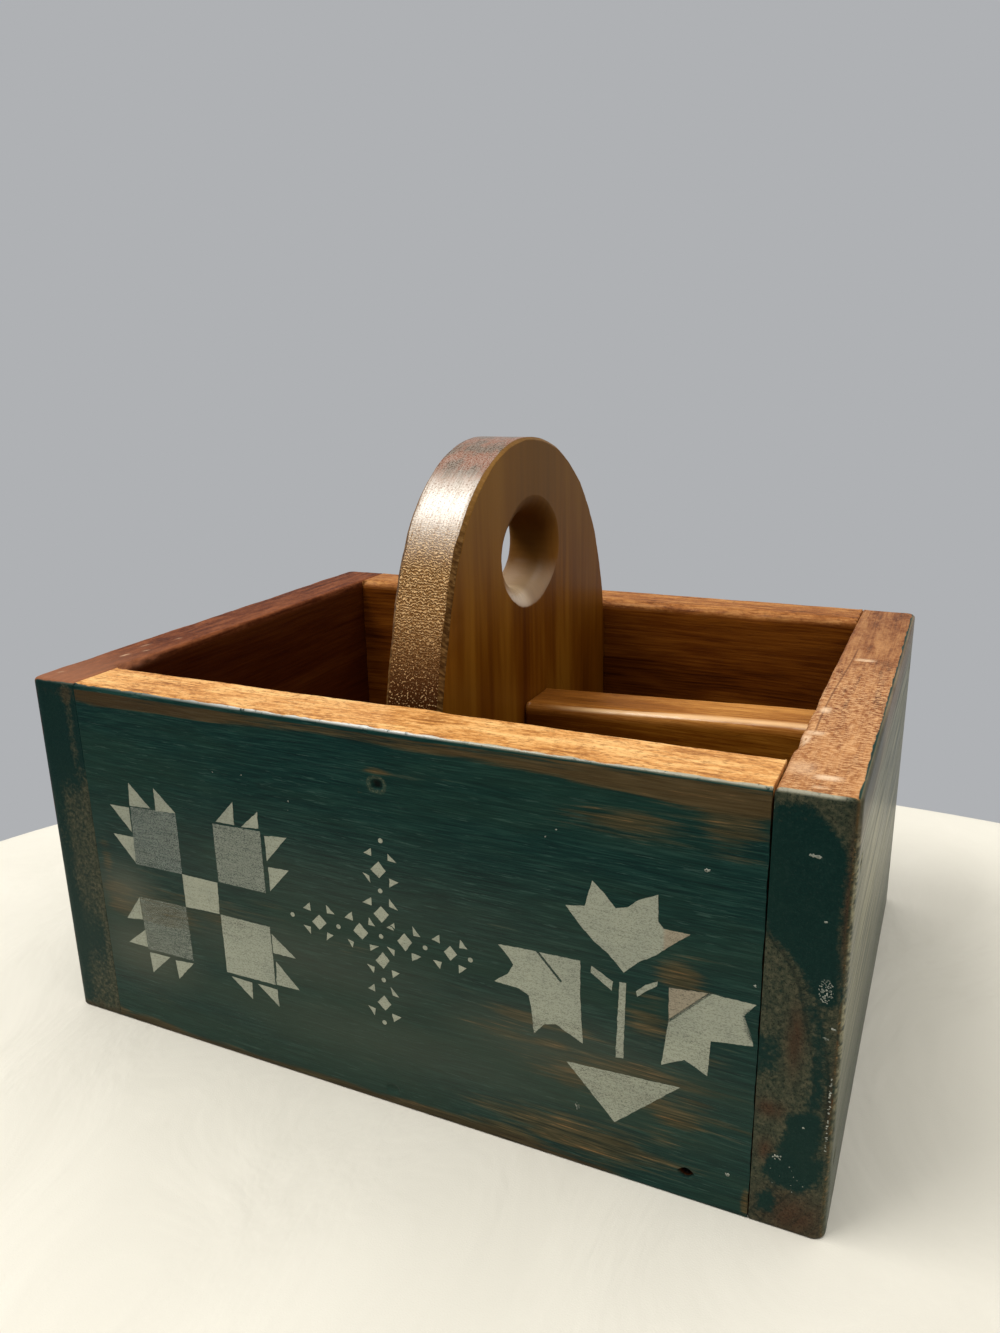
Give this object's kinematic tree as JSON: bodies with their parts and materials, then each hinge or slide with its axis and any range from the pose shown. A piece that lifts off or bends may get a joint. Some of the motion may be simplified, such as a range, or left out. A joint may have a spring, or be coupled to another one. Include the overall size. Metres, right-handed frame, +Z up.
{
  "type": "wooden tote box",
  "caption": "Small open wooden tote box with an arched handle board across its middle, an oval hand hole, a divider in one half and a painted, stencilled outside.",
  "frame": {"origin": "middle of the footprint, on the surface that the box stands on", "axes": "+X along the front from left to right, +Y from front to back, +Z up"},
  "size_m": [0.254, 0.187, 0.1915],
  "materials": {
    "painted_wood": "worn dark green paint under a thin varnish, bare wood on the rim and inside",
    "varnished_wood": "reddish brown varnish",
    "nail_steel": "dulled and partly painted over"
  },
  "bodies": {
    "root": {"front_board": "painted_wood", "back_board": "painted_wood", "left_end_board": "painted_wood", "right_end_board": "painted_wood", "bottom_board": "varnished_wood", "handle_board": "varnished_wood", "divider_board": "varnished_wood", "corner_nails": "nail_steel", "handle_nails": "nail_steel", "bottom_nails": "nail_steel", "divider_nails": "nail_steel"}
  },
  "joints": []
}
